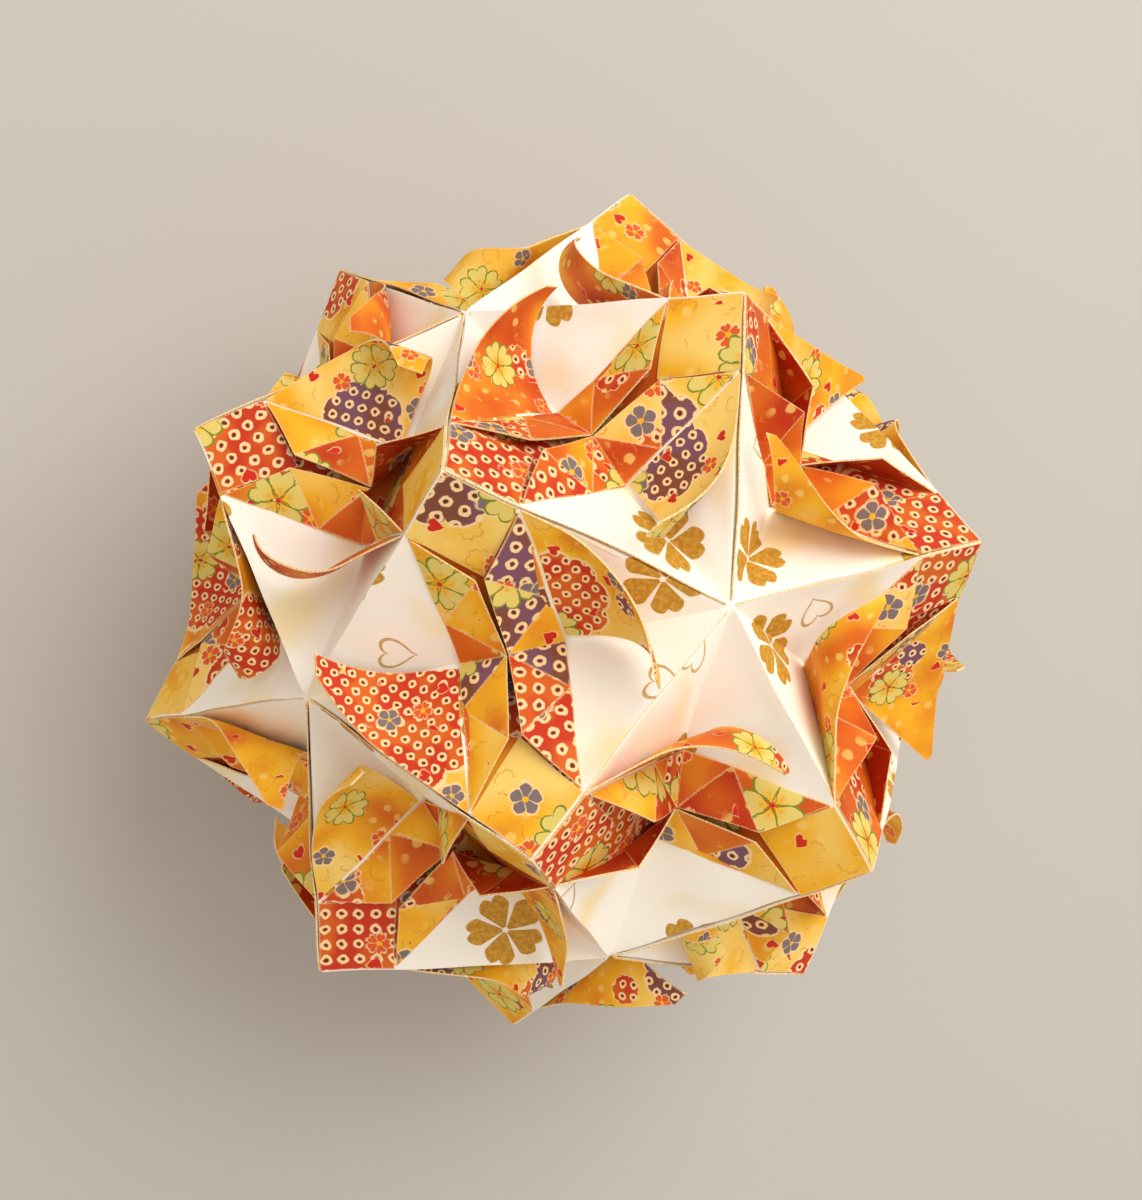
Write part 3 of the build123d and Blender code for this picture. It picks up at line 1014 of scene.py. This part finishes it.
for number, (name, (corner, other, pair)) in enumerate(sheets.items()):
    chance = random.Random(number + hand["firstSeed"])
    halves = [Half(corner, other, False), Half(corner, other, True)]
    seeds = [chance.uniform(0, 6), chance.uniform(0, 6)]
    if name.startswith("foot"):
        seeds = [None, None]
    front = chosen.get(name)
    settings = []
    for turned in (False, True):
        door = pair[turned][1]
        wanted = front[turned].split() if front else None
        setting = {"kiteSide": chance.uniform(-hand["kiteSide"], hand["kiteSide"]), "looks": {}}
        for side in ("left", "right"):
            setting[side + "Turn"] = doors[door] + chance.uniform(*hand["doorTurn"])
            setting[side + "Slack"] = chance.uniform(*hand["doorSlack"])
        setting["petal"] = makeLook(chance, wanted and wanted[0], hand["petalPrint"])
        for place, key in enumerate(stripKeys):
            inner = chance.choice(innerKinds) if key.endswith(("Fold", "Bow")) else None
            setting["looks"][key] = makeLook(chance, wanted[place + 1] if wanted else inner)
        settings.append(setting)
    motif, x, y = front[2] if front else ("gold", *(chance.uniform(*hand["goldSpot"]) for _ in range(2)))
    spot = anchor(motif, chance.randrange(4), chance.randrange(4))
    piece = Piece()
    buildFace(piece, halves, seeds, (spot[0] - x, spot[1] - y))
    buildStrip(piece, halves, seeds, settings)
    for turned in (False, True):
        curl = pair[turned][0]
        drift = chance.uniform(-hand["petalDrift"], hand["petalDrift"])
        if curl:
            buildPetal(piece, halves[turned], curl, settings[turned]["petal"], drift, seeds[turned])
    made = piece.build(name + "_paper", paperMaterials, hand["sharpFrom"])
    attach(made, "root")
    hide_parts(name)
print("sheets folded:", len(sheets))

# Camera, as the photograph was taken, in the frame of the ball before it leans
camera = {
    "place": (-1.58674946, 0.22017968, 3.98735258),       # in face diagonals
    "right": (0.90208121, -0.21925487, 0.3717214),
    "up": (0.2176865, 0.97489817, 0.04675616),
    "back": (-0.37264203, 0.03874087, 0.92716615),
    "lens": 46.745,
    "sensor": 36.0,
}
lens = bpy.data.cameras.new("camera")
lens.sensor_fit = "VERTICAL"
lens.sensor_height = camera["sensor"]
lens.sensor_width = camera["sensor"]
lens.lens = camera["lens"]


def standing(axes, spot):
    # The matrix that gives an object these axes at this spot
    return Matrix([[*(axis[row] for axis in axes), spot[row]] for row in range(3)] + [[0, 0, 0, 1]])


viewer = show("camera", lens)
axes = [leanTurn @ np.array(camera[key]) for key in ("right", "up", "back")]
spot = leanTurn @ np.array(camera["place"]) * diagonal * ball["metresPerUnit"]
viewer.matrix_world = standing(axes, spot)
bpy.context.scene.camera = viewer

# Floor and light
studio = {
    "floorSize": 1.6,      # half its side, in metres
    "floorRoughness": 0.8,
    "keyPower": 3.45,
    "keySize": 0.55,
    "keyPlace": (0.27, 0.26, 0.60),
    "keyColour": (1.0, 0.97, 0.93),
    "world": (1.0, 0.94, 0.87),
    "worldStrength": 0.75,
}
floorMesh = bpy.data.meshes.new("floor")
reach = studio["floorSize"]
around = ((-reach, -reach), (reach, -reach), (reach, reach), (-reach, reach))
floorMesh.from_pydata([(x, y, cadBox[0].z) for x, y in around], [], [(0, 1, 2, 3)])
floor = show("floor", floorMesh)
floorPaint = bpy.data.materials.new("floorPaint")
floorPaint.use_nodes = True
floorShader = floorPaint.node_tree.nodes["Principled BSDF"].inputs
floorShader["Base Color"].default_value = paint("floor")
floorShader["Roughness"].default_value = studio["floorRoughness"]
floorMesh.materials.append(floorPaint)

keyLight = bpy.data.lights.new("key", "AREA")
keyLight.energy = studio["keyPower"]
keyLight.size = studio["keySize"]
keyLight.color = studio["keyColour"]
key = show("key", keyLight)
back = unit(np.array(studio["keyPlace"]))
side = unit(np.cross((0, 0, 1), back))
lift = np.cross(back, side)
key.matrix_world = standing((side, lift, back), studio["keyPlace"])

world = bpy.data.worlds.new("world")
bpy.context.scene.world = world
world.use_nodes = True
worldShader = world.node_tree.nodes["Background"].inputs
worldShader["Color"].default_value = (*studio["world"], 1)
worldShader["Strength"].default_value = studio["worldStrength"]
bpy.context.scene.view_settings.view_transform = "Standard"
print("camera and light set")
